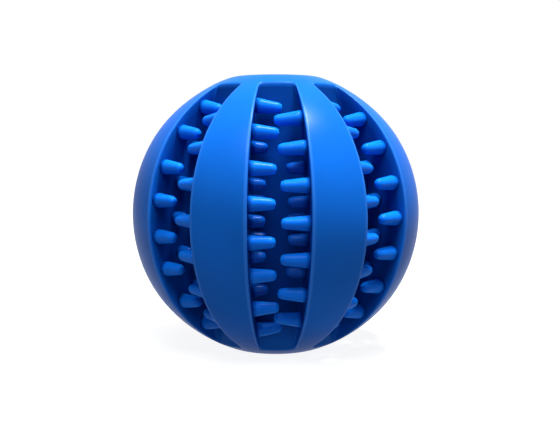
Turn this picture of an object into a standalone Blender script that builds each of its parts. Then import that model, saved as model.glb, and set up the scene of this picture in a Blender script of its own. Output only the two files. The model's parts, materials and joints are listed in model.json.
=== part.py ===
"""Rubber chew ball with eight toothed slots.

A soft rubber ball, flattened at both poles. Eight upright slots leave eight ribs
standing on a barrel-shaped core. Tapered teeth stand on both walls of each slot, in rows
that step in from the surface, and the teeth of facing walls alternate in height.

Frame: the ball's centre is at the origin, the pole axis is Z, and slot 1 faces -Y.
"""
import math

import bmesh
import bpy
from mathutils import Matrix, Vector

# Driving dimensions: lengths in metres, angles in degrees.
BALL_RADIUS = 0.035
POLE_FLAT_RADIUS = 0.0119      # of the flats cut off both poles
SLOT_END_RADIUS = 0.0162       # distance of a slot's ends from the pole axis
CORE_WAIST_RADIUS = 0.0195     # of the core at the equator

RIB_COUNT = 8
RIB_WIDTH = 0.0132             # straight across a rib's outer face at the equator
RIB_ROOT_WIDTH = 0.00265       # straight across its foot on the core at the equator
SLOT_FLARE = 9.0               # plan angle of the planes that draw the mouth on the ball
RIB_END_SETBACK = 0.0005       # a rib stops this far short of the slot's end height

SKIN_THICKNESS = 0.0006        # wall layer that carries a set of teeth
BOND_GAP = 0.0003              # hairline between neighbouring pieces

OUTER_ROW_DEPTH = 0.0033       # from the ball's surface to the axis of the outer teeth
ROW_PITCH = 0.0053             # from the outer row of teeth in to the middle row
INNER_ROW_CLEARANCE = 0.0016   # from the core's waist to the axis of the inner teeth
LEVEL_STEP = 6.66              # latitude from one tooth level to the next

OUTER_TOOTH_LENGTH = 0.0062
INNER_TOOTH_LENGTH = 0.0042
OUTER_ROOT_RADIUS = 0.00168
INNER_ROOT_RADIUS = 0.0015
TOOTH_TIP_RADIUS = 0.001
TOOTH_TIP_ROUND = 0.0005
TOOTH_SINK = 0.0003            # depth of a tooth's root inside its skin
SLOPE_SAMPLE = 0.0005          # half the span over which a wall's slope is measured

RUBBER_BLUE = (0.008, 0.135, 0.62, 1.0)
RUBBER_ROUGHNESS = 0.42
WELD_DISTANCE = 0.00001

# Mesh resolution.
CORE_SIDES = 40
CAP_STEPS = 3
BARREL_STEPS = 10
RIB_HEIGHT_STEPS = 14
RIB_FACE_STEPS = 4
OUTER_TOOTH_SIDES = 8
INNER_TOOTH_SIDES = 6

# Derived sizes. A slot is what its two ribs leave between them, so its mouth and its foot
# are found from the ribs' widths, as x out along the slot and y from the slot's middle.
RIB_PITCH = math.tau / RIB_COUNT
FRONT_SLOT_ANGLE = -math.pi / 2
MOUTH_ANGLE = RIB_PITCH / 2 - math.asin(RIB_WIDTH / 2 / BALL_RADIUS)
FOOT_ANGLE = RIB_PITCH / 2 - math.asin(RIB_ROOT_WIDTH / 2 / CORE_WAIST_RADIUS)
MOUTH_X = BALL_RADIUS * math.cos(MOUTH_ANGLE)
MOUTH_Y = BALL_RADIUS * math.sin(MOUTH_ANGLE)
FOOT_X = CORE_WAIST_RADIUS * math.cos(FOOT_ANGLE)
FOOT_Y = CORE_WAIST_RADIUS * math.sin(FOOT_ANGLE)
DRAFT_SLOPE = (MOUTH_Y - FOOT_Y) / (MOUTH_X - FOOT_X)
FLARE_SLOPE = math.tan(math.radians(SLOT_FLARE))
FLARE_START = MOUTH_Y - FLARE_SLOPE * MOUTH_X
POLE_FLAT_HEIGHT = math.sqrt(BALL_RADIUS ** 2 - POLE_FLAT_RADIUS ** 2)
SLOT_END_HEIGHT = math.sqrt(BALL_RADIUS ** 2 - SLOT_END_RADIUS ** 2)
RIB_END_HEIGHT = SLOT_END_HEIGHT - RIB_END_SETBACK
RIB_END_LATITUDE = math.asin(RIB_END_HEIGHT / BALL_RADIUS)
RIB_INSET = SKIN_THICKNESS + BOND_GAP
OUTER_ROW_RADIUS = BALL_RADIUS - OUTER_ROW_DEPTH
MIDDLE_ROW_RADIUS = OUTER_ROW_RADIUS - ROW_PITCH
INNER_ROW_RADIUS = CORE_WAIST_RADIUS + INNER_ROW_CLEARANCE
ROW_RADII = (OUTER_ROW_RADIUS, MIDDLE_ROW_RADIUS, INNER_ROW_RADIUS)
ROOT_RADII = (OUTER_ROOT_RADIUS, INNER_ROOT_RADIUS, INNER_ROOT_RADIUS)
LEFT_PARITY = 0
RIGHT_PARITY = 1


def ball_radius_at(height):
    """Distance of the ball's surface from the pole axis."""
    return math.sqrt(BALL_RADIUS ** 2 - height ** 2)


def core_radius_at(height):
    """Distance of the core's barrel from the pole axis."""
    bulge = CORE_WAIST_RADIUS - SLOT_END_RADIUS
    return SLOT_END_RADIUS + bulge * (1 - (height / SLOT_END_HEIGHT) ** 2)


def line_meets_circle(offset, slope, radius):
    """Where the line y = offset + slope * x crosses a circle round the pole axis."""
    root = math.sqrt(radius ** 2 * (1 + slope ** 2) - offset ** 2)
    x = (root - offset * slope) / (1 + slope ** 2)
    return x, offset + slope * x


def wall_offset_at(height, depth):
    """Offset of the wall's plan line from the slot's middle, depth into the rib."""
    edge_x, edge_y = line_meets_circle(FLARE_START, FLARE_SLOPE, ball_radius_at(height))
    return edge_y - DRAFT_SLOPE * edge_x + depth * math.sqrt(1 + DRAFT_SLOPE ** 2)


def half_angle_at(radius, height, depth):
    """Angle from a rib's middle to its wall, at a distance from the pole axis."""
    x, y = line_meets_circle(wall_offset_at(height, depth), DRAFT_SLOPE, radius)
    return RIB_PITCH / 2 - math.atan2(y, x)


def on_ring(radius, angle, height):
    """Point at a distance and an angle round the pole axis."""
    return Vector((radius * math.cos(angle), radius * math.sin(angle), height))


def wall_point(x, height, side):
    """Point on a rib's wall, x out along the slot; side is 1 right and -1 left."""
    y = -(wall_offset_at(height, 0.0) + DRAFT_SLOPE * x)
    angle = RIB_PITCH / 2 + math.atan2(y, x)
    return on_ring(math.hypot(x, y), side * angle, height)


def height_of(step):
    """Height of a rib section, for a step from -1 to 1."""
    return BALL_RADIUS * math.sin(step * RIB_END_LATITUDE)


def clear_scene():
    for old in list(bpy.data.objects):
        bpy.data.objects.remove(old)


def new_collection(name):
    collection = bpy.data.collections.new(name)
    bpy.context.scene.collection.children.link(collection)
    return collection


def rubber(name):
    material = bpy.data.materials.new(name + "_rubber")
    material.use_nodes = True
    shader = material.node_tree.nodes["Principled BSDF"]
    shader.inputs["Base Color"].default_value = RUBBER_BLUE
    shader.inputs["Roughness"].default_value = RUBBER_ROUGHNESS
    shader.inputs["Metallic"].default_value = 0.0
    return material


def add_object(name, mesh, collection):
    placed = bpy.data.objects.new(name, mesh)
    collection.objects.link(placed)
    return placed


def mesh_from(bm, name):
    bmesh.ops.recalc_face_normals(bm, faces=bm.faces)
    mesh = bpy.data.meshes.new(name)
    bm.to_mesh(mesh)
    bm.free()
    for face in mesh.polygons:
        face.use_smooth = True
    return mesh


def stepped_box(height_steps, face_steps):
    """Box from -1 to 1, divided along Z and across Y."""
    bm = bmesh.new()
    bmesh.ops.create_cube(bm, size=2.0)
    upright = [e for e in bm.edges if abs(e.verts[0].co.z - e.verts[1].co.z) > 1]
    bmesh.ops.subdivide_edges(bm, edges=upright, cuts=height_steps - 1, use_grid_fill=True)
    if face_steps > 1:
        across = [e for e in bm.edges if abs(e.verts[0].co.y - e.verts[1].co.y) > 1]
        bmesh.ops.subdivide_edges(bm, edges=across, cuts=face_steps - 1, use_grid_fill=True)
    return bm


def radius_for(radial, height):
    """Inner (-1) or outer (1) distance of a rib piece from the pole axis."""
    if radial > 0:
        return ball_radius_at(height)
    return core_radius_at(height) + BOND_GAP


def make_rib_mesh():
    bm = stepped_box(RIB_HEIGHT_STEPS, RIB_FACE_STEPS)
    for vert in bm.verts:
        radial, across, step = vert.co
        height = height_of(step)
        radius = radius_for(radial, height)
        vert.co = on_ring(radius, across * half_angle_at(radius, height, RIB_INSET), height)
    return mesh_from(bm, "rib")


def make_skin_mesh(side):
    """Layer of one rib wall, from the core to the ball's surface."""
    bm = stepped_box(RIB_HEIGHT_STEPS, 1)
    for vert in bm.verts:
        radial, across, step = vert.co
        height = height_of(step)
        radius = radius_for(radial, height)
        depth = SKIN_THICKNESS if across < 0 else 0.0
        vert.co = on_ring(radius, side * half_angle_at(radius, height, depth), height)
    return mesh_from(bm, "skin")


def make_tooth_mesh(root_radius, length, sides):
    """Tapered tooth on +Z with a rounded tip; the wall's face is at zero."""
    bm = bmesh.new()
    middle = Matrix.Translation((0, 0, (length - TOOTH_SINK) / 2))
    bmesh.ops.create_cone(bm, cap_ends=True, segments=sides, radius1=root_radius,
                          radius2=TOOTH_TIP_RADIUS, depth=length + TOOTH_SINK, matrix=middle)
    rim = [e for e in bm.edges if min(v.co.z for v in e.verts) > length / 2]
    bmesh.ops.bevel(bm, geom=rim, offset=TOOTH_TIP_ROUND, segments=1, affect="EDGES")
    return mesh_from(bm, "tooth")


def tooth_spot(row, level):
    """A tooth's root: its distance out along the slot, and its height."""
    height = BALL_RADIUS * math.sin(math.radians(LEVEL_STEP * level))
    return math.sqrt(ROW_RADII[row] ** 2 - height ** 2), height


def clears_core(row, level):
    """Whether a tooth's root leaves at least the hairline to the core."""
    x, height = tooth_spot(row, level)
    wall_y = wall_offset_at(height, 0.0) + DRAFT_SLOPE * x
    nearest = math.hypot(x, wall_y) - ROOT_RADII[row]
    return nearest > core_radius_at(height) + BOND_GAP


def top_level(row):
    """A row runs up and down from the equator for as long as its teeth clear the core."""
    level = 0
    while clears_core(row, level + 1):
        level += 1
    return level


def tooth_place(row, level, side):
    """Where a tooth stands: its root on the wall and its axis square to it."""
    x, height = tooth_spot(row, level)
    root = wall_point(x, height, side)
    span = SLOPE_SAMPLE
    outward = wall_point(x + span, height, side) - wall_point(x - span, height, side)
    upward = wall_point(x, height + span, side) - wall_point(x, height - span, side)
    axis = (upward.cross(outward) * side).normalized()
    turn = axis.to_track_quat("Z", "Y").to_matrix().to_4x4()
    return Matrix.Translation(root) @ turn


def teeth_of(side, parity):
    """Every tooth of one wall: its row and its level."""
    for row in range(len(ROW_RADII)):
        top = top_level(row)
        for level in range(-top, top + 1):
            if (level + row + parity) % 2 == 0:
                yield row, tooth_place(row, level, side)


def make_tooth_set(side, parity):
    outer = make_tooth_mesh(OUTER_ROOT_RADIUS, OUTER_TOOTH_LENGTH, OUTER_TOOTH_SIDES)
    inner = make_tooth_mesh(INNER_ROOT_RADIUS, INNER_TOOTH_LENGTH, INNER_TOOTH_SIDES)
    bm = bmesh.new()
    for row, place in teeth_of(side, parity):
        tooth = (inner if row else outer).copy()
        tooth.transform(place)
        bm.from_mesh(tooth)
    return mesh_from(bm, "tooth_set")


def make_toothed_wall(name, side, parity, cutters):
    """The skin of one wall with its teeth joined to it, as one mesh."""
    skin = add_object(name + "_skin", make_skin_mesh(side), cutters)
    teeth = add_object(name + "_set", make_tooth_set(side, parity), cutters)
    join = skin.modifiers.new("teeth", "BOOLEAN")
    join.operation = "UNION"
    join.solver = "EXACT"
    join.object = teeth
    bpy.context.view_layer.update()
    depsgraph = bpy.context.evaluated_depsgraph_get()
    mesh = bpy.data.meshes.new_from_object(skin.evaluated_get(depsgraph))
    bpy.data.objects.remove(skin)
    bpy.data.objects.remove(teeth)
    return mesh


def core_profile():
    """Half of the core's outline, top to bottom, as (radius, height)."""
    flat = math.asin(POLE_FLAT_HEIGHT / BALL_RADIUS)
    end = math.asin(SLOT_END_HEIGHT / BALL_RADIUS)
    points = [(0.0, POLE_FLAT_HEIGHT)]
    for i in range(CAP_STEPS + 1):
        latitude = flat + (end - flat) * i / CAP_STEPS
        points.append((BALL_RADIUS * math.cos(latitude), BALL_RADIUS * math.sin(latitude)))
    for i in range(1, BARREL_STEPS):
        height = SLOT_END_HEIGHT * (1 - 2 * i / BARREL_STEPS)
        points.append((core_radius_at(height), height))
    upper = points[:CAP_STEPS + 2]
    points += [(radius, -height) for radius, height in reversed(upper)]
    return points


def build_core(collection):
    bm = bmesh.new()
    outline = [bm.verts.new((radius, 0.0, height)) for radius, height in core_profile()]
    for start, end in zip(outline, outline[1:]):
        bm.edges.new((start, end))
    mesh = bpy.data.meshes.new("core")
    bm.to_mesh(mesh)
    bm.free()
    core = add_object("core", mesh, collection)
    turn = core.modifiers.new("turn", "SCREW")
    turn.axis = "Z"
    turn.steps = CORE_SIDES
    turn.render_steps = CORE_SIDES
    turn.use_merge_vertices = True
    turn.merge_threshold = WELD_DISTANCE
    turn.use_smooth_shade = True
    core.data.materials.append(rubber("core"))


def place_round(name, mesh, index, collection):
    """One of the eight copies, turned to its place round the pole axis."""
    piece = add_object(name, mesh.copy(), collection)
    piece.rotation_euler.z = FRONT_SLOT_ANGLE + (index - 0.5) * RIB_PITCH
    piece.data.materials.clear()
    piece.data.materials.append(rubber(name))


def build_ribs(collection):
    mesh = make_rib_mesh()
    for index in range(1, RIB_COUNT + 1):
        place_round(f"rib_{index}", mesh, index, collection)


def build_teeth(collection, cutters):
    left = make_toothed_wall("left", -1, LEFT_PARITY, cutters)
    right = make_toothed_wall("right", 1, RIGHT_PARITY, cutters)
    for index in range(1, RIB_COUNT + 1):
        place_round(f"rib_{index}_left_teeth", left, index, collection)
        place_round(f"rib_{index}_right_teeth", right, index, collection)


def build():
    clear_scene()
    ball = new_collection("chew_ball")
    cutters = new_collection("cutters")
    cutters.hide_render = True
    build_core(ball)
    build_ribs(ball)
    build_teeth(ball, cutters)


build()
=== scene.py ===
# %% [markdown]
# A rubber chew ball, modelled as a lesson in cells.
#
# The ball is one moulding: a core, eight ribs, and rows of soft teeth on both walls of every
# slot between the ribs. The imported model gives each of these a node. Here each node gets a
# finer piece in the same place: the ribs and the core are shaped together, so that they flow
# into each other, and are then parted, and the teeth are modelled once and copied.

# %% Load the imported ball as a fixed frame
import json
import math

import bmesh
import bpy
from mathutils import Matrix, Vector

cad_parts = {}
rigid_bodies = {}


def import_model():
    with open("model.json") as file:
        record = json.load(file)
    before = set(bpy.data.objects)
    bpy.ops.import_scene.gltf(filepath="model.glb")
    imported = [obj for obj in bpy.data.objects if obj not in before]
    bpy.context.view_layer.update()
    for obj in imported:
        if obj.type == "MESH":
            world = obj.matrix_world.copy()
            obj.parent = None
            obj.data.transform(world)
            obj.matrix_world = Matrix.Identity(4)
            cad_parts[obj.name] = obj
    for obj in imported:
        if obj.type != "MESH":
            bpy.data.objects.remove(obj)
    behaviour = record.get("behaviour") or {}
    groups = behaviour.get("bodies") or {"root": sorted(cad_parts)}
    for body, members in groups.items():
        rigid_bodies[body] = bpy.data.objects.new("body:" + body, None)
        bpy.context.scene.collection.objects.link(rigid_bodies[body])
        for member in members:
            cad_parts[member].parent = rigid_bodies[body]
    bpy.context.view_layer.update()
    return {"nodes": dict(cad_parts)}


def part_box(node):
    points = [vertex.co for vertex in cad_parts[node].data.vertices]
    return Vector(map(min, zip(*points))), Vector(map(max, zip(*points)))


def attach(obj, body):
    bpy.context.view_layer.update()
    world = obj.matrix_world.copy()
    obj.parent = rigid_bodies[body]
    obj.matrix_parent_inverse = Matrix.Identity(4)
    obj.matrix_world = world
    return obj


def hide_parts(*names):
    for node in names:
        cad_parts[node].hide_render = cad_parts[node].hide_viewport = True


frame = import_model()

print("frame loaded:", len(frame["nodes"]), "nodes")

# %% [markdown]
# Sizes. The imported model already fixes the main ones, so they are read from it: a rib's
# farthest point lies on the ball, and the core's box gives its waist and its pole flats. The
# sizes that a box can't show are written here, in metres and radians. The ribs' width, the
# slots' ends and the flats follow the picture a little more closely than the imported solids
# do, by half a millimetre at most.

# %% Sizes of the ball
BALL_RADIUS = max(point.co.length for point in frame["nodes"]["rib_1"].data.vertices)
CORE_WAIST_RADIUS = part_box("core")[1].x
FLAT_LIFT = 0.0002
POLE_FLAT_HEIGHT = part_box("core")[1].z + FLAT_LIFT
RIB_COUNT = 8
RIB_WIDTH = 0.0135
RIB_ROOT_WIDTH = 0.00265
SLOT_FLARE = math.radians(9.0)
SLOT_END_RADIUS = 0.0157

RIB_PITCH = math.tau / RIB_COUNT
FRONT_SLOT_ANGLE = -math.pi / 2
SLOT_END_LATITUDE = math.acos(SLOT_END_RADIUS / BALL_RADIUS)
SLOT_END_HEIGHT = BALL_RADIUS * math.sin(SLOT_END_LATITUDE)
MM_PER_METRE = 1000
print(f"ball {2 * BALL_RADIUS * MM_PER_METRE:.1f} mm across,",
      f"{2 * POLE_FLAT_HEIGHT * MM_PER_METRE:.1f} mm from flat to flat")

# %% [markdown]
# The slots. A slot is what two ribs leave between them. Seen from a pole, its walls are
# straight lines that close in a little toward the core, as in any moulding that has to come
# off its tool. The mouth narrows toward the poles, so each height has its own wall line. The
# walls could be drawn as curves and lofted. A few formulas are used instead, because then
# every later step can ask where a wall lies.

# %% Where a slot's wall lies
def mouth_and_foot():
    """A wall's outer and inner end at the equator: x out along the slot, y from its middle."""
    mouth = RIB_PITCH / 2 - math.asin(RIB_WIDTH / 2 / BALL_RADIUS)
    foot = RIB_PITCH / 2 - math.asin(RIB_ROOT_WIDTH / 2 / CORE_WAIST_RADIUS)
    outer = Vector((math.cos(mouth), math.sin(mouth))) * BALL_RADIUS
    inner = Vector((math.cos(foot), math.sin(foot))) * CORE_WAIST_RADIUS
    return outer, inner


MOUTH, FOOT = mouth_and_foot()
DRAFT_SLOPE = (MOUTH.y - FOOT.y) / (MOUTH.x - FOOT.x)
FLARE_SLOPE = math.tan(SLOT_FLARE)
FLARE_START = MOUTH.y - FLARE_SLOPE * MOUTH.x


def ball_radius_at(height):
    return math.sqrt(BALL_RADIUS ** 2 - height ** 2)


def core_radius_at(height):
    bulge = CORE_WAIST_RADIUS - SLOT_END_RADIUS
    return SLOT_END_RADIUS + bulge * (1 - (height / SLOT_END_HEIGHT) ** 2)


def line_meets_circle(offset, slope, radius):
    """Where the line y = offset + slope * x crosses a circle round the pole axis."""
    root = math.sqrt(radius ** 2 * (1 + slope ** 2) - offset ** 2)
    x = (root - offset * slope) / (1 + slope ** 2)
    return x, offset + slope * x


def wall_offset_at(height):
    edge_x, edge_y = line_meets_circle(FLARE_START, FLARE_SLOPE, ball_radius_at(height))
    return edge_y - DRAFT_SLOPE * edge_x


def slot_half_angle(radius, height):
    """Angle from a slot's middle to its wall, at a distance from the pole axis."""
    x, y = line_meets_circle(wall_offset_at(height), DRAFT_SLOPE, radius)
    return math.atan2(y, x)


print(f"at the equator a slot's mouth is {2 * MOUTH.y * MM_PER_METRE:.1f} mm wide",
      f"and its foot {2 * FOOT.y * MM_PER_METRE:.1f} mm")

# %% [markdown]
# The body's grid. A modeller would start from a sphere and push the slots into it. The same is
# done here: the sphere's meridians become the slots' edges and its parallels their ends, so
# every face stays a clean four-sided one. Booleans would cut the slots with less thought, but
# they leave ragged faces that don't subdivide well. To move a point to its exact place, each
# point keeps an address: its column round the ball, its ring up the ball, and its step down
# into a slot.

# %% Addresses on the ball
COLUMNS = 96
RINGS = 48
COLUMNS_PER_SLOT = COLUMNS // RIB_COUNT
MOUTH_COLUMN = 3
RIB_MIDDLE_COLUMN = COLUMNS_PER_SLOT // 2
SLOT_END_RING = 16
RIM_RING = 19
POLE_RING = RINGS // 2


def slot_and_offset(column):
    """The nearest slot, and how many columns the point is from its middle."""
    slot = round(column / COLUMNS_PER_SLOT)
    return slot, column - slot * COLUMNS_PER_SLOT


print("a slot has", 2 * MOUTH_COLUMN, "columns, a rib", COLUMNS_PER_SLOT - 2 * MOUTH_COLUMN)

# %% [markdown]
# The pole caps. Above the slots' ends the ball closes to a plain cap with a flat on top. Its
# shoulders lie a fraction of a millimetre inside a true sphere, and a narrow rim leads over to
# the flat. Both are so slight that they are formulas on the sphere's own rings, with no cuts.

# %% Rings of the pole caps
SHOULDER_SAG = 0.0003
SAG_FROM = math.radians(30)
SAG_TO = math.radians(58)
RIM_INSET = 0.0007
RIM_SETBACK = 0.0003

SHOULDER_RADIUS = BALL_RADIUS - SHOULDER_SAG
RIM_RADIUS = math.sqrt(SHOULDER_RADIUS ** 2 - POLE_FLAT_HEIGHT ** 2)
RIM_LATITUDE = math.acos((RIM_RADIUS + RIM_SETBACK) / SHOULDER_RADIUS)


def face_radius(latitude):
    """The ball's radius, which eases to a little less on the shoulders round its poles."""
    share = max(0.0, min(1.0, (abs(latitude) - SAG_FROM) / (SAG_TO - SAG_FROM)))
    return BALL_RADIUS - SHOULDER_SAG * share ** 2 * (3 - 2 * share)


def cap_section(ring):
    """Radius and height of a ring on the pole cap, from the slots' ends to the pole."""
    if ring <= RIM_RING:
        share = (ring - SLOT_END_RING) / (RIM_RING - SLOT_END_RING)
        latitude = SLOT_END_LATITUDE + share * (RIM_LATITUDE - SLOT_END_LATITUDE)
        return face_radius(latitude) * math.cos(latitude), face_radius(latitude) * math.sin(latitude)
    share = (POLE_RING - ring) / (POLE_RING - RIM_RING - 1)
    return (RIM_RADIUS - RIM_INSET) * share, POLE_FLAT_HEIGHT


print(f"pole flats {2 * RIM_RADIUS * MM_PER_METRE:.1f} mm across, rims included")

# %% [markdown]
# The slots' walls. A wall runs from the ball's face down to the core in five steps, with loops
# close to the mouth and close to the floor. The floor is shorter than the mouth, because the
# end walls slope, and the ends bow a little toward the poles.

# %% Steps down a slot's wall
WALL_STEPS = 5
EDGE_LOOP = 0.0008
FLOOR_LOOP = 0.0018
FLOOR_SHARE = 0.77
END_BOW = 0.12


def wall_section(ring, step):
    """Radius and height of a point step loops down a slot's wall."""
    latitude = SLOT_END_LATITUDE * ring / SLOT_END_RING
    mouth = Vector((math.cos(latitude), math.sin(latitude))) * face_radius(latitude)
    floor_height = mouth.y * FLOOR_SHARE
    floor = Vector((core_radius_at(floor_height), floor_height))
    depth = (floor - mouth).length
    loops = (0.0, EDGE_LOOP / depth, 1 / 3, 2 / 3, 1 - FLOOR_LOOP / depth, 1.0)
    return mouth.lerp(floor, loops[step])


def bowed(ring, offset):
    """A slot's end bows toward its pole, so its corners lie part of a ring lower."""
    if abs(ring) < SLOT_END_RING or abs(offset) > MOUTH_COLUMN:
        return ring
    return math.copysign(SLOT_END_RING - END_BOW * (offset / MOUTH_COLUMN) ** 2, ring)


print(f"a slot's floor lies {wall_section(0, WALL_STEPS)[0] * MM_PER_METRE:.2f} mm from the axis")

# %% [markdown]
# Places. With the caps' rings and the walls' steps, every address has one place. The ring and
# the step give its radius and its height, and the column gives its angle: the columns of a slot
# are spread evenly between its walls, and those of a rib evenly across its face.

# %% Where an address lies
def place_of(column, ring, step):
    slot, offset = slot_and_offset(column)
    if abs(ring) > SLOT_END_RING:
        radius, height = cap_section(abs(ring))
        edge = slot_half_angle(SLOT_END_RADIUS, SLOT_END_HEIGHT)
        height = math.copysign(height, ring)
    else:
        radius, height = wall_section(bowed(ring, offset), step)
        edge = slot_half_angle(radius, height)
    angle = edge * offset / MOUTH_COLUMN
    if abs(offset) > MOUTH_COLUMN:
        share = (abs(offset) - MOUTH_COLUMN) / (RIB_MIDDLE_COLUMN - MOUTH_COLUMN)
        angle = math.copysign(edge + share * (RIB_PITCH / 2 - edge), offset)
    angle += FRONT_SLOT_ANGLE + slot * RIB_PITCH
    return Vector((radius * math.cos(angle), radius * math.sin(angle), height))


print("the middle of the front slot's floor:", place_of(0, 0, WALL_STEPS))

# %% [markdown]
# The sphere. Its points get their addresses from where they start, and are then moved to their
# places. The poles come out flat and the rib faces stay on the ball.

# %% Start the body from a sphere
ADDRESS = ("column", "ring", "step")


def use_only(piece):
    """Select one object alone and make it active."""
    bpy.ops.object.select_all(action="DESELECT")
    piece.select_set(True)
    bpy.context.view_layer.objects.active = piece


def address_layers(grid):
    """The layers that hold the three parts of every point's address."""
    return [grid.verts.layers.int[name] for name in ADDRESS]


def address_of(point):
    """Column and ring of a point of the plain sphere."""
    turn = (math.atan2(point.y, point.x) - FRONT_SLOT_ANGLE) % math.tau
    latitude = math.asin(max(-1.0, min(1.0, point.z / BALL_RADIUS)))
    return round(turn / math.tau * COLUMNS) % COLUMNS, round(latitude / math.pi * RINGS)


def settle(points, column, ring, step):
    """Move points to the places that their addresses give."""
    for point in points:
        point.co = place_of(point[column], point[ring], point[step])


bpy.ops.object.select_all(action="DESELECT")
bpy.ops.mesh.primitive_uv_sphere_add(segments=COLUMNS, ring_count=RINGS, radius=BALL_RADIUS)
body = bpy.context.object
body.name = "moulded_ball"
for name in ADDRESS:
    body.data.attributes.new(name, "INT", "POINT")

bpy.ops.object.mode_set(mode="EDIT")
grid = bmesh.from_edit_mesh(body.data)
column, ring, step = address_layers(grid)
for point in grid.verts:
    point[column], point[ring] = address_of(point.co)
settle(grid.verts, column, ring, step)
bmesh.update_edit_mesh(body.data)
print("sphere:", len(grid.verts), "points,", len(grid.faces), "faces")

# %% [markdown]
# The slots are pushed in. All eight patches of slot faces are selected and extruded five times.
# After each extrusion the new points are moved one loop further down the walls. The first and
# last loops lie close to the edges, to hold them crisp when the body is subdivided.

# %% Push the slots into the body
def in_slot(face):
    inside = (abs(slot_and_offset(point[column])[1]) <= MOUTH_COLUMN for point in face.verts)
    return all(inside) and all(abs(point[ring]) <= SLOT_END_RING for point in face.verts)


bpy.ops.mesh.select_mode(type="FACE")
bpy.ops.mesh.select_all(action="DESELECT")
for face in grid.faces:
    face.select_set(in_slot(face))
bmesh.update_edit_mesh(body.data)

for loop in range(1, WALL_STEPS + 1):
    bpy.ops.mesh.extrude_region_move()
    grid = bmesh.from_edit_mesh(body.data)
    column, ring, step = address_layers(grid)
    fresh = [point for point in grid.verts if point.select]
    for point in fresh:
        point[step] = loop
    settle(fresh, column, ring, step)
    bmesh.update_edit_mesh(body.data)
print("slots pushed in:", len(grid.faces), "faces")

# %% [markdown]
# Which faces belong to the core and which to a rib. A rib owns its outer face and its two
# walls, and the core keeps the slots' floors, their ends and the pole caps. Each owner gets a
# material slot now, because the faces that later steps make inherit it.

# %% Share the faces out between the core and the ribs
def nearest_rib(place):
    """The number of the rib that a place is on or behind."""
    turn = (math.atan2(place.y, place.x) - FRONT_SLOT_ANGLE) % math.tau
    return int(turn / RIB_PITCH) + 1


def owner_of(face):
    """Zero for the core, or the number of the rib."""
    offsets = [abs(slot_and_offset(point[column])[1]) for point in face.verts]
    rings = [abs(point[ring]) for point in face.verts]
    steps = [point[step] for point in face.verts]
    on_rib_face = max(steps) == 0 and min(offsets) >= MOUTH_COLUMN
    on_wall = max(steps) > min(steps) and min(offsets) == max(offsets) == MOUTH_COLUMN
    if max(rings) > SLOT_END_RING or not (on_rib_face or on_wall):
        return 0
    return nearest_rib(face.calc_center_median())


for number in range(RIB_COUNT + 1):
    body.data.materials.append(bpy.data.materials.new(f"owner_{number}"))
for face in grid.faces:
    face.material_index = owner_of(face)
bmesh.update_edit_mesh(body.data)
print("faces of rib 1:", sum(face.material_index == 1 for face in grid.faces))

# %% [markdown]
# Rounded edges. Moulded rubber has no knife edges. The corners between a slot's side walls and
# its end walls are rounded first, by most of a millimetre. Then every mouth is rounded by a
# third of a millimetre, and that narrow band catches the light as a thin bright line. The
# edges are found by their addresses and bevelled, and the points of the last band are
# remembered in an attribute, so that the material can find them and paint a lighter highlight
# on them.

# %% Round the slots' corners and mouths
CORNER_ROUNDING = 0.0008
MOUTH_ROUNDING = 0.00034
ROUNDING_SEGMENTS = 2


def at_wall_corner(edge):
    rings = {abs(point[ring]) for point in edge.verts}
    offsets = {abs(slot_and_offset(point[column])[1]) for point in edge.verts}
    down = edge.verts[0][step] != edge.verts[1][step]
    return down and rings == {SLOT_END_RING} and offsets == {MOUTH_COLUMN}


def at_mouth(edge):
    deepest = [max(point[step] for point in face.verts) for face in edge.link_faces]
    return sorted(deepest) == [0, 1]


bpy.ops.mesh.select_mode(type="EDGE")
for chosen, rounding in ((at_wall_corner, CORNER_ROUNDING), (at_mouth, MOUTH_ROUNDING)):
    bpy.ops.mesh.select_all(action="DESELECT")
    grid = bmesh.from_edit_mesh(body.data)
    column, ring, step = address_layers(grid)
    for edge in grid.edges:
        edge.select_set(chosen(edge))
    bmesh.update_edit_mesh(body.data)
    bpy.ops.mesh.bevel(offset=rounding, segments=ROUNDING_SEGMENTS, affect="EDGES")

bpy.ops.object.mode_set(mode="OBJECT")
rim = body.data.attributes.new("rim", "FLOAT", "POINT")
for point in body.data.vertices:
    rim.data[point.index].value = float(point.select)
print("rim points:", sum(point.select for point in body.data.vertices))

# %% [markdown]
# Smoothing. One level of Subdivision Surface turns the grid into a smooth body. Weighted Normal
# then lets the wide faces decide the shading, so that they look even and the light turns only
# in the narrow rounded bands. A copy of the whole is kept for a while, because its normals are
# needed again below.

# %% Smooth the body
SMOOTHING_LEVELS = 1


def apply_modifier(piece, kind, **settings):
    use_only(piece)
    modifier = piece.modifiers.new(kind.lower(), kind)
    for name, value in settings.items():
        setattr(modifier, name, value)
    bpy.ops.object.modifier_apply(modifier=modifier.name)


apply_modifier(body, "SUBSURF", levels=SMOOTHING_LEVELS, render_levels=SMOOTHING_LEVELS)
bpy.ops.object.shade_smooth()
apply_modifier(body, "WEIGHTED_NORMAL", mode="FACE_AREA")
for name in ADDRESS:
    body.data.attributes.remove(body.data.attributes[name])
whole = body.copy()
whole.data = body.data.copy()
whole.name = "whole_body"
bpy.context.scene.collection.objects.link(whole)
print("smooth body:", len(body.data.polygons), "faces")

# %% [markdown]
# Parting the body. Each rib becomes its own piece, as it is a node of its own, and so does the
# core. Modelling nine pieces one by one would leave steps where they meet. Parting one smooth
# body along its material slots leaves none.

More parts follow.
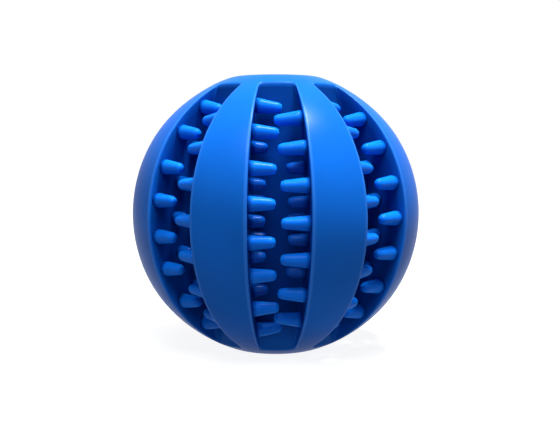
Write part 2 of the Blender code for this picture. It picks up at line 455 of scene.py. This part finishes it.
# %% Part the ribs from the core
use_only(body)
bpy.ops.object.mode_set(mode="EDIT")
bpy.ops.mesh.select_all(action="SELECT")
bpy.ops.mesh.separate(type="MATERIAL")
bpy.ops.object.mode_set(mode="OBJECT")
parted = {piece.data.materials[0].name: piece for piece in bpy.context.selected_objects}
core = parted["owner_0"]
core.name = "moulded_core"
ribs = [parted[f"owner_{number}"] for number in range(1, RIB_COUNT + 1)]
for number, rib in enumerate(ribs, 1):
    rib.name = f"moulded_rib_{number}"
print("parted:", core.name, "and", len(ribs), "ribs of", len(ribs[0].data.polygons), "faces")

# %% [markdown]
# Closing the pieces. A parted rib is open toward the core, and the core is open behind every
# rib. One big face over such a bent opening would fold over itself, so the long feet of a
# rib's two walls are bridged first, and then the openings that are left, at the two ends, are
# filled and poked into triangles. All of that is hidden. The cut edges are marked sharp, so
# that the closing faces don't bend the shading of the faces that show.

# %% Close the hidden sides
FOOT_SHARE = 0.95
FOOT_TOP = FOOT_SHARE * FLOOR_SHARE * SLOT_END_HEIGHT


def select_open_edges():
    bpy.ops.mesh.select_all(action="DESELECT")
    bpy.ops.mesh.select_non_manifold(use_wire=False, use_multi_face=False,
                                     use_non_contiguous=False, use_verts=False)


def select_feet(piece, number):
    """Select the open edges along the feet of one rib's walls, and say how many they are."""
    bpy.ops.mesh.select_all(action="DESELECT")
    grid = bmesh.from_edit_mesh(piece.data)
    feet = [edge for edge in grid.edges if edge.is_boundary
            and max(abs(point.co.z) for point in edge.verts) < FOOT_TOP
            and nearest_rib(edge.verts[0].co) == number]
    for edge in feet:
        edge.select_set(True)
    bmesh.update_edit_mesh(piece.data)
    return len(feet)


def close_hidden_side(piece):
    """Bridge the feet of the walls, fill the ends, and leave a sharp edge round the cut."""
    use_only(piece)
    bpy.ops.object.mode_set(mode="EDIT")
    bpy.ops.mesh.select_mode(type="EDGE")
    select_open_edges()
    bpy.ops.mesh.mark_sharp()
    for number in range(1, RIB_COUNT + 1):
        if select_feet(piece, number):
            bpy.ops.mesh.bridge_edge_loops()
    select_open_edges()
    bpy.ops.mesh.fill_holes(sides=0)
    bpy.ops.mesh.poke()
    bpy.ops.object.mode_set(mode="OBJECT")


for piece in [core] + ribs:
    close_hidden_side(piece)
print("closed: the core has", len(core.data.polygons), "faces, a rib", len(ribs[0].data.polygons))

# %% [markdown]
# Joins that don't show. A smooth normal at a cut only knows the faces on its own side, so the
# cuts would show as creases. Data Transfer carries the normals of the whole body over to the
# pieces, and the creases disappear.

# %% Carry the whole body's normals over
for piece in [core] + ribs:
    apply_modifier(piece, "DATA_TRANSFER", object=whole, use_loop_data=True,
                   data_types_loops={"CUSTOM_NORMAL"}, loop_mapping="NEAREST_POLY")
bpy.data.objects.remove(whole)
print("normals carried to", 1 + len(ribs), "pieces")

# %% [markdown]
# The teeth. Each tooth is a soft peg with a straight taper and a blunt, rounded end, and its
# root is sunk a little into the wall. It could be a cone with a bevelled end. Here it starts as
# a circle that is extruded and resized ring by ring, like pulling a peg out of a disc, because
# then every ring lies where it is wanted. Each wall has two sizes: long ones near the surface
# and short ones behind. A rib's left wall has slightly longer teeth than its right one. The
# root ring is remembered in an attribute, for the painted shade where a tooth meets its wall.

# %% Model the pegs
LEFT, RIGHT = -1, 1
OUTER_TOOTH_LENGTH = {LEFT: 0.0065, RIGHT: 0.0061}
INNER_TOOTH_LENGTH = {LEFT: 0.0046, RIGHT: 0.0038}
OUTER_ROOT_RADIUS = 0.00176
INNER_ROOT_RADIUS = 0.00155
TOOTH_TIP_RADIUS = 0.00124
TOOTH_TIP_ROUND = 0.00105
TIP_ARC = (0.0, math.radians(45))
TOOTH_SIDES = 14
ROOT_SINK = 0.0004
ROOT_REACH = 0.0012


def peg_rings(root_radius, length):
    """Height and radius of each ring of a peg, from below the wall to the blunt end."""
    taper = (root_radius - TOOTH_TIP_RADIUS) / (length - TOOTH_TIP_ROUND)
    root = [(height, root_radius - taper * height) for height in (-ROOT_SINK, ROOT_REACH)]
    centre = (length - TOOTH_TIP_ROUND, TOOTH_TIP_RADIUS - TOOTH_TIP_ROUND)
    end = [(centre[0] + TOOTH_TIP_ROUND * math.sin(turn), centre[1] + TOOTH_TIP_ROUND * math.cos(turn))
           for turn in TIP_ARC]
    return root + end


def model_peg(name, root_radius, length):
    rings = peg_rings(root_radius, length)
    bpy.ops.object.select_all(action="DESELECT")
    height, radius = rings[0]
    bpy.ops.mesh.primitive_circle_add(vertices=TOOTH_SIDES, radius=radius,
                                      fill_type="NGON", location=(0, 0, height))
    peg = bpy.context.object
    peg.name = name
    bpy.ops.object.transform_apply(location=True)
    bpy.ops.object.mode_set(mode="EDIT")
    bpy.ops.mesh.select_all(action="SELECT")
    for next_height, next_radius in rings[1:]:
        rise = (0, 0, next_height - height)
        shrink = next_radius / radius
        bpy.ops.mesh.extrude_region_move(TRANSFORM_OT_translate={"value": rise})
        bpy.ops.transform.resize(value=(shrink, shrink, 1), center_override=(0, 0, next_height))
        height, radius = next_height, next_radius
    bpy.ops.mesh.extrude_region_move(TRANSFORM_OT_translate={"value": (0, 0, length - height)})
    bpy.ops.mesh.merge(type="CENTER")
    bpy.ops.mesh.select_all(action="SELECT")
    bpy.ops.mesh.normals_make_consistent(inside=False)
    bpy.ops.object.mode_set(mode="OBJECT")
    bpy.ops.object.shade_smooth()
    apply_modifier(peg, "WEIGHTED_NORMAL", mode="FACE_AREA")
    root = peg.data.attributes.new("root", "FLOAT", "POINT")
    for point in peg.data.vertices:
        root.data[point.index].value = float(point.co.z < 0)
    return peg


long_peg = {side: model_peg("long_peg", OUTER_ROOT_RADIUS, OUTER_TOOTH_LENGTH[side])
            for side in (LEFT, RIGHT)}
short_peg = {side: model_peg("short_peg", INNER_ROOT_RADIUS, INNER_TOOTH_LENGTH[side])
             for side in (LEFT, RIGHT)}
print("a peg has", len(long_peg[LEFT].data.polygons), "faces")

# %% [markdown]
# Rows of teeth. On each wall the teeth stand in three rows, the outer one just below the
# surface. Going up a wall, every second level has an outer tooth and the levels between have
# a tooth of the next row. The facing wall starts one level later, so the two rows mesh. The
# levels are given as degrees above the equator, and they are the same below it.

# %% Find where every tooth stands
OUTER_ROW_DEPTH = 0.0033
ROW_PITCH = 0.0053
INNER_ROW_CLEARANCE = 0.0016
LEVEL_DEGREES = (0.0, 6.8, 13.3, 19.4, 27.3, 34.0, 40.2, 46.7)
ROW_TOP_LEVELS = (7, 4, 1)
SLOPE_SAMPLE = 0.0005

OUTER_ROW_RADIUS = BALL_RADIUS - OUTER_ROW_DEPTH
ROW_RADII = (OUTER_ROW_RADIUS, OUTER_ROW_RADIUS - ROW_PITCH, CORE_WAIST_RADIUS + INNER_ROW_CLEARANCE)


def wall_point(x, height, side):
    """Point on the wall of a rib that faces +X; side is 1 right and -1 left."""
    y = -(wall_offset_at(height) + DRAFT_SLOPE * x)
    angle = side * (RIB_PITCH / 2 + math.atan2(y, x))
    radius = math.hypot(x, y)
    return Vector((radius * math.cos(angle), radius * math.sin(angle), height))


def tooth_place(row, level, side):
    """A tooth's root on the wall, with its axis square to the wall."""
    latitude = math.copysign(math.radians(LEVEL_DEGREES[abs(level)]), level)
    height = BALL_RADIUS * math.sin(latitude)
    x = math.sqrt(ROW_RADII[row] ** 2 - height ** 2)
    span = SLOPE_SAMPLE
    outward = wall_point(x + span, height, side) - wall_point(x - span, height, side)
    upward = wall_point(x, height + span, side) - wall_point(x, height - span, side)
    axis = (upward.cross(outward) * side).normalized()
    turn = axis.to_track_quat("Z", "Y").to_matrix().to_4x4()
    return Matrix.Translation(wall_point(x, height, side)) @ turn


def teeth_of(side):
    """Row and place of every tooth on one wall."""
    first = 0 if side == LEFT else 1
    for row, top in enumerate(ROW_TOP_LEVELS):
        for level in range(-top, top + 1):
            if (level + row + first) % 2 == 0:
                yield row, tooth_place(row, level, side)


for side, words in ((LEFT, "left"), (RIGHT, "right")):
    print("teeth on a", words, "wall:", len(list(teeth_of(side))))

# %% [markdown]
# Copies. The pegs of one wall are copied to their places and joined to one set. The set is
# then copied eight times round the ball. Every copy has its own mesh, with its place in it.

# %% Copy the pegs to every wall
def copy_of(piece, name, place):
    copied = piece.copy()
    copied.data = piece.data.copy()
    copied.data.transform(place)
    copied.name = name
    bpy.context.scene.collection.objects.link(copied)
    return copied


def tooth_set(name, side):
    pegs = []
    for row, place in teeth_of(side):
        pegs.append(copy_of(short_peg[side] if row else long_peg[side], name, place))
    use_only(pegs[0])
    for peg in pegs:
        peg.select_set(True)
    bpy.ops.object.join()
    return pegs[0]


def round_the_ball(pattern, name):
    """Eight turned copies of what stands on a rib that faces +X."""
    copies = []
    for number in range(1, RIB_COUNT + 1):
        turn = FRONT_SLOT_ANGLE + (number - 0.5) * RIB_PITCH
        copies.append(copy_of(pattern, f"{name}_{number}", Matrix.Rotation(turn, 4, "Z")))
    bpy.data.objects.remove(pattern)
    return copies


left_teeth = round_the_ball(tooth_set("left_set", LEFT), "left_teeth")
right_teeth = round_the_ball(tooth_set("right_set", RIGHT), "right_teeth")
for pattern in (*long_peg.values(), *short_peg.values()):
    bpy.data.objects.remove(pattern)
print("sets of teeth:", len(left_teeth) + len(right_teeth))

# %% [markdown]
# Sums in shader nodes. A material's maths is easier to read as sums than as boxes and wires.
# This small class wraps a socket: adding or multiplying two of them adds the Math node that
# does it, and one method adds any other node.

# %% A socket that Python can do sums with
# A Mix node keeps its colour sockets after its number and vector ones.
MIX_SHARE, MIX_FIRST, MIX_SECOND, MIX_RESULT = 0, 6, 7, 2


class Wire:
    def __init__(self, tree, socket=None):
        self.tree = tree
        self.socket = socket

    def node(self, kind, settings=None, sockets=None, output=0):
        """Add a node: its settings first, then its sockets' values or links."""
        made = self.tree.nodes.new(kind)
        for name, value in (settings or {}).items():
            setattr(made, name, value)
        for name, value in (sockets or {}).items():
            if isinstance(value, Wire):
                self.tree.links.new(value.socket, made.inputs[name])
            else:
                made.inputs[name].default_value = value
        return Wire(self.tree, made.outputs[output])

    def maths(self, operation, first, second=0.0):
        return self.node("ShaderNodeMath", {"operation": operation}, {0: first, 1: second})

    def __add__(self, other):
        return self.maths("ADD", self, other)

    def __sub__(self, other):
        return self.maths("SUBTRACT", self, other)

    def __rsub__(self, other):
        return self.maths("SUBTRACT", other, self)

    def __mul__(self, other):
        return self.maths("MULTIPLY", self, other)

    __radd__ = __add__
    __rmul__ = __mul__

    def between(self, low, high, easing="LINEAR"):
        """Zero at low and one at high: straight between them, or gently with SMOOTHSTEP."""
        ends = {"Value": self, "From Min": low, "From Max": high}
        return self.node("ShaderNodeMapRange", {"interpolation_type": easing}, ends)

    def mixed(self, first, second):
        """Two colours mixed by this share."""
        sockets = {MIX_SHARE: self, MIX_FIRST: first, MIX_SECOND: second}
        return self.node("ShaderNodeMix", {"data_type": "RGBA"}, sockets, MIX_RESULT)


print("shader sums ready")

# %% [markdown]
# How deep a place is. The slots get so little light that their rubber looks several shades
# darker than the ribs' faces. Two lamps alone leave it too bright, so that shade is painted
# into the colour, and the material needs to know how far down a place is. It works that out
# from Object coordinates: the distance from the ball's middle, or from a pole flat where that
# is nearer. An attribute on the points would do too, but the large faces of the slots' ends
# would blur it.

# %% Tell how deep in a slot a place is
def depth_and_height(wire, place):
    """Metres below the ball's face, or a pole flat where that is nearer, and above the equator."""
    reach = wire.node("ShaderNodeVectorMath", {"operation": "LENGTH"}, {0: place}, "Value")
    height = wire.node("ShaderNodeSeparateXYZ", {}, {"Vector": place}, "Z")
    below_flat = POLE_FLAT_HEIGHT - wire.maths("ABSOLUTE", height)
    return wire.maths("MINIMUM", BALL_RADIUS - reach, below_flat), height


# Where the painted shade in the slots begins and where it is full, and the heights where it fades out
# toward the lower ends.
WALL_SHADE_FROM = 0.0002
WALL_SHADE_FULL_AT = 0.0026
END_SHADE_FULL_AT = 0.0013
FLOOR_FROM = 0.006
FLOOR_TO = 0.012
TEETH_SHADE_FROM = 0.0044
TEETH_SHADE_FULL_AT = 0.0092
LOW_FROM = -0.0225
LOW_TO = -0.029
# At these depths the painted shade in the slots is full.
print(f"walls are dull {WALL_SHADE_FULL_AT * MM_PER_METRE:.1f} mm down,",
      f"teeth {TEETH_SHADE_FULL_AT * MM_PER_METRE:.1f} mm down")

# %% [markdown]
# The rubber. It is one saturated blue all through, with a satin skin. Up close the colour
# drifts a little, the skin has the fine grain of its mould, and the rounded mouths are worn a
# little smoother and shinier, with a painted highlight: a lighter blue where their narrow band
# catches the light. Deep in the slots a painted shade darkens the walls, and their shine fades.
# The painted shade is darkest on the upper end walls, and fades out at the lowest ends, which
# the floor lights. The shine is a thin coat over a nearly matt base, because a glossy base
# would turn the blue purple. The teeth are the same rubber, thin enough for some light to pass
# through them, and their blue is painted lighter than the ribs', as painted light. A painted
# shade darkens each one where it meets its wall, and the deeper ones are painted darker too,
# but have a stronger gleam.

# %% Colours and textures of the rubber
FACE_BLUE = (0.005, 0.139, 0.64, 1.0)
# Painted light: the teeth are the same rubber as the ribs, and their lighter blue stands in for the
# light that passes through and falls on them.
PAINTED_LIGHT_TOOTH_BLUE = (0.003, 0.183, 0.88, 1.0)
# Painted highlight: the lighter blue of the rounded mouths.
PAINTED_RIM_HIGHLIGHT_BLUE = (0.03, 0.21, 0.8, 1.0)
# Painted shade deep in the slots, and a darker painted shade on the core's upper end walls.
PAINTED_SHADE_BLUE = (0.002, 0.052, 0.325, 1.0)
PAINTED_END_SHADE_BLUE = (0.0015, 0.039, 0.225, 1.0)
DRIFT_SCALE, DRIFT_DETAIL = 70.0, 3.0
DRIFT_FROM, DRIFT_TO = 0.35, 0.65
DRIFT_SHADE = 0.9
GRAIN_SCALE, GRAIN_DETAIL = 4200.0, 1.0
GRAIN_HEIGHT = 0.00002
GRAIN_STRENGTH = 0.5
# Reach and strength of the painted shade where a tooth meets its wall.
ROOT_FADE_TO = 0.67
ROOT_FADE = 0.6
RIM_FROM = 0.8
RUBBED_POLISH = 0.06
RUBBED_SHINE = 0.2
SATIN_SPAN = 0.12
BASE_GLOSS = 0.01
GLOW_REACH = (0.3, 1.0, 1.0)
GLOW_SCALE = 0.0025


def noise(wire, place, scale, detail):
    return wire.node("ShaderNodeTexNoise", {}, {"Vector": place, "Scale": scale, "Detail": detail})


def attribute(wire, name):
    """A number that the mesh keeps on its points, or zero on a mesh without it."""
    return wire.node("ShaderNodeAttribute", {"attribute_name": name}, {}, "Fac")


print("the grain is", GRAIN_HEIGHT * MM_PER_METRE, "mm high")

# %% Make the satin rubber
def satin_rubber(name, face, shaded, shade_from, shade_full_at, rim_wear_and_highlight, satin, shine, deep_shine, glow):
    """Rubber of the colour face, with painted shade: between two depths it turns to a darker colour.
    """
    material = bpy.data.materials.new(name)
    material.use_nodes = True
    tree = material.node_tree
    shader = tree.nodes["Principled BSDF"]
    wire = Wire(tree)
    place = wire.node("ShaderNodeTexCoord", output="Object")

    drift = noise(wire, place, DRIFT_SCALE, DRIFT_DETAIL)
    grain = noise(wire, place, GRAIN_SCALE, GRAIN_DETAIL)
    rim_line = attribute(wire, "rim").between(RIM_FROM, 1.0) * rim_wear_and_highlight
    root_shade = attribute(wire, "root").between(0.0, ROOT_FADE_TO) * ROOT_FADE
    depth, height = depth_and_height(wire, place)
    # Painted shade: deeper in a slot the colour turns darker, for the shade that falls there, and the
    # coat thins; it fades out at the lowest ends.
    painted_shade_share = depth.between(shade_from, shade_full_at) * height.between(LOW_TO, LOW_FROM)

    drifted = (*(DRIFT_SHADE * part for part in face[:3]), 1.0)
    colour = drift.between(DRIFT_FROM, DRIFT_TO).mixed(drifted, face)
    # Painted highlight: the rounded mouths get a lighter blue where their narrow band catches the
    # light; the same share makes them smoother and shinier.
    colour = rim_line.mixed(colour, PAINTED_RIM_HIGHLIGHT_BLUE)
    # Painted shade where a tooth meets its wall.
    colour = root_shade.mixed(colour, PAINTED_SHADE_BLUE)
    # The painted shade is darkest near the slots' floors.
    painted_shade_colour = depth.between(FLOOR_FROM, FLOOR_TO, "SMOOTHSTEP").mixed(shaded, PAINTED_SHADE_BLUE)
    colour = painted_shade_share.mixed(colour, painted_shade_colour)
    roughness = satin + SATIN_SPAN * drift - RUBBED_POLISH * rim_line
    coat = shine - (shine - deep_shine) * painted_shade_share + RUBBED_SHINE * rim_line
    grain_sockets = {"Height": grain, "Distance": GRAIN_HEIGHT, "Strength": GRAIN_STRENGTH}
    bump = wire.node("ShaderNodeBump", {}, grain_sockets)

    tree.links.new(colour.socket, shader.inputs["Base Color"])
    tree.links.new(roughness.socket, shader.inputs["Roughness"])
    tree.links.new(bump.socket, shader.inputs["Normal"])
    tree.links.new(coat.socket, shader.inputs["Coat Weight"])
    shader.inputs["Coat Roughness"].default_value = satin
    shader.inputs["Specular IOR Level"].default_value = BASE_GLOSS
    shader.inputs["Subsurface Weight"].default_value = glow
    shader.inputs["Subsurface Radius"].default_value = GLOW_REACH
    shader.inputs["Subsurface Scale"].default_value = GLOW_SCALE
    return material


# Each rubber gets its own blue, the painted shade it turns to with depth, and where that shade begins
# and is full.
rib_skin = satin_rubber("satin_rib_rubber", FACE_BLUE, PAINTED_SHADE_BLUE, WALL_SHADE_FROM, WALL_SHADE_FULL_AT,
                        rim_wear_and_highlight=0.5, satin=0.27, shine=0.085, deep_shine=0.0, glow=0.0)
core_skin = satin_rubber("satin_core_rubber", FACE_BLUE, PAINTED_END_SHADE_BLUE, WALL_SHADE_FROM, END_SHADE_FULL_AT,
                         rim_wear_and_highlight=0.15, satin=0.27, shine=0.085, deep_shine=0.0, glow=0.0)
tooth_skin = satin_rubber("satin_tooth_rubber", PAINTED_LIGHT_TOOTH_BLUE, PAINTED_SHADE_BLUE, TEETH_SHADE_FROM, TEETH_SHADE_FULL_AT,
                          rim_wear_and_highlight=0.0, satin=0.18, shine=0.08, deep_shine=0.13, glow=0.3)
print("each rubber has", len(rib_skin.node_tree.nodes), "nodes")

# %% [markdown]
# Dressing. Every piece gets its rubber and hangs on the ball's one body, and the imported node that it
# stands for is hidden. The ball has no joints, so everything rides on its one body.

# %% Dress the pieces
def dress(piece, material, node):
    """Give a piece its finish, hang it on the ball's body, and hide the node that it stands for."""
    piece.data.materials.clear()
    piece.data.materials.append(material)
    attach(piece, "root")
    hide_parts(node)


dress(core, core_skin, "core")
for number in range(1, RIB_COUNT + 1):
    dress(ribs[number - 1], rib_skin, f"rib_{number}")
    dress(left_teeth[number - 1], tooth_skin, f"rib_{number}_left_teeth")
    dress(right_teeth[number - 1], tooth_skin, f"rib_{number}_right_teeth")
print("pieces dressed:", 1 + len(ribs) + len(left_teeth) + len(right_teeth))

# %% [markdown]
# The floor. The ball stands on a round pale floor. Seen by the camera, and in reflections, the
# floor glows almost white by itself, and a grey paint under the lamps makes up the rest, so
# that the ball's shadow still shows as a faint tint. A floor that is white to all rays would
# wash the ball with light, so light that bounces meets a much darker one. A weak glow right
# under the ball, which only bounced light meets, brightens its lower ends.

# %% Lay the floor
FLOOR_RADIUS = 1.5
FLOOR_SIDES = 96
FLOOR_PAINT = 0.25
SEEN_NEAR, SEEN_FAR = 0.9, 1.0
SEEN_FROM, SEEN_TO = 0.06, 0.3
BOUNCE_NEAR, BOUNCE_FAR = 0.18, 0.1
BOUNCE_FROM, BOUNCE_TO = 0.05, 0.16
UNDER_GLOW = 0.19
UNDER_FROM, UNDER_TO = 0.03, 0.07


def seen_directly(wire):
    """One for camera, mirror and glass rays, and zero for light that bounces."""
    path = wire.node("ShaderNodeLightPath").socket.node
    rays = (Wire(wire.tree, path.outputs[name])
            for name in ("Is Camera Ray", "Is Glossy Ray", "Is Transmission Ray"))
    return sum(rays, 0.0).between(0.0, 1.0)


def grey(level):
    return (level, level, level, 1.0)


def pale_paint():
    """A paint that is almost white to the camera, and grey to light that bounces."""
    material = bpy.data.materials.new("pale_floor")
    material.use_nodes = True
    tree = material.node_tree
    shader = tree.nodes["Principled BSDF"]
    wire = Wire(tree)
    seen = seen_directly(wire)
    spot = wire.node("ShaderNodeTexCoord", output="Object")
    distance = wire.node("ShaderNodeVectorMath", {"operation": "LENGTH"}, {0: spot}, "Value")
    seen_glow = SEEN_NEAR + (SEEN_FAR - SEEN_NEAR) * distance.between(SEEN_FROM, SEEN_TO)
    bounce = distance.between(BOUNCE_FROM, BOUNCE_TO).mixed(grey(BOUNCE_NEAR), grey(BOUNCE_FAR))
    paint = seen.mixed(bounce, grey(FLOOR_PAINT))
    under_glow = UNDER_GLOW * (1.0 - distance.between(UNDER_FROM, UNDER_TO)) * (1.0 - seen)
    glow = seen * seen_glow + under_glow
    tree.links.new(paint.socket, shader.inputs["Base Color"])
    tree.links.new(glow.socket, shader.inputs["Emission Color"])
    shader.inputs["Emission Strength"].default_value = 1.0
    shader.inputs["Specular IOR Level"].default_value = 0.0
    return material


bpy.ops.object.select_all(action="DESELECT")
bpy.ops.mesh.primitive_circle_add(vertices=FLOOR_SIDES, radius=FLOOR_RADIUS, fill_type="NGON",
                                  location=(0, 0, -POLE_FLAT_HEIGHT))
floor = bpy.context.object
floor.name = "pale_floor"
floor.data.materials.append(pale_paint())
print(f"floor at {-POLE_FLAT_HEIGHT * MM_PER_METRE:.2f} mm")

# %% [markdown]
# The background. It works as the floor does: white where it is seen directly, and much weaker
# as a light, so that the lamps and not the room shape the ball.

# %% Set the world
WORLD_LIGHT = 0.16
WHITE = (1.0, 1.0, 1.0, 1.0)

world = bpy.data.worlds.new("white_studio")
bpy.context.scene.world = world
world.use_nodes = True
room = world.node_tree.nodes["Background"]
room.inputs["Color"].default_value = WHITE
strength = WORLD_LIGHT + (1.0 - WORLD_LIGHT) * seen_directly(Wire(world.node_tree))
world.node_tree.links.new(strength.socket, room.inputs["Strength"])
print("the room gives", WORLD_LIGHT, "of the light that it shows")

# %% [markdown]
# The light. The gleam on the ribs tells of a lamp almost straight overhead, a little to the
# right: the upper ribs are bright, the lower ones fall into shade, and the tops of the teeth
# shine. A broader lamp, higher up in front and a little to the left, keeps the fronts of the
# ribs and teeth from going dull.

# %% Hang the two lamps
LAMP_COLOUR = (0.93, 0.97, 1.0)


def hang_lamp(name, place, size, power):
    """A round lamp that points at the ball."""
    lamp = bpy.data.lights.new(name, "AREA")
    lamp.shape = "DISK"
    lamp.size = size
    lamp.energy = power
    lamp.color = LAMP_COLOUR
    hanging = bpy.data.objects.new(name, lamp)
    hanging.location = place
    hanging.rotation_euler = (-place).to_track_quat("-Z", "Y").to_euler()
    bpy.context.scene.collection.objects.link(hanging)
    print(name, round(place.length, 2), "m away")


hang_lamp("overhead_lamp", place=Vector((0.095, -0.045, 0.43)), size=0.12, power=3.6)
hang_lamp("front_lamp", place=Vector((-0.06, -0.31, 0.56)), size=0.36, power=2.85)

# %% [markdown]
# The camera. It looks almost level, from about six and a half radii away, with the front slot a
# little to the right of the ball's middle. The ball isn't at the middle of the picture, so the
# lens is shifted by that many pixels instead of turned.

# %% Set up the camera
PICTURE_WIDTH = 560
FOCAL_PIXELS = 916.5
SHIFT_RIGHT_PIXELS = 4.45
SHIFT_UP_PIXELS = -10.5
DISTANCE_IN_RADII = 6.46
CAMERA_DISTANCE = DISTANCE_IN_RADII * BALL_RADIUS
CAMERA_LIFT = math.radians(4.2)
CAMERA_TURN = math.radians(1.4)
SENSOR_WIDTH = 36.0
NEAREST_SEEN = BALL_RADIUS / 10

camera = bpy.data.cameras.new("camera")
camera.sensor_width = SENSOR_WIDTH
camera.lens = FOCAL_PIXELS / PICTURE_WIDTH * SENSOR_WIDTH
camera.shift_x = SHIFT_RIGHT_PIXELS / PICTURE_WIDTH
camera.shift_y = SHIFT_UP_PIXELS / PICTURE_WIDTH
camera.clip_start = NEAREST_SEEN
viewer = bpy.data.objects.new("camera", camera)
level_distance = CAMERA_DISTANCE * math.cos(CAMERA_LIFT)
viewer.location = (-level_distance * math.sin(CAMERA_TURN),
                   -level_distance * math.cos(CAMERA_TURN),
                   CAMERA_DISTANCE * math.sin(CAMERA_LIFT))
viewer.rotation_euler = (-viewer.location).to_track_quat("-Z", "Y").to_euler()
bpy.context.scene.collection.objects.link(viewer)
bpy.context.scene.camera = viewer
bpy.context.scene.view_settings.view_transform = "Standard"
print(f"camera {CAMERA_DISTANCE * MM_PER_METRE:.0f} mm away, lens {camera.lens:.1f} mm")
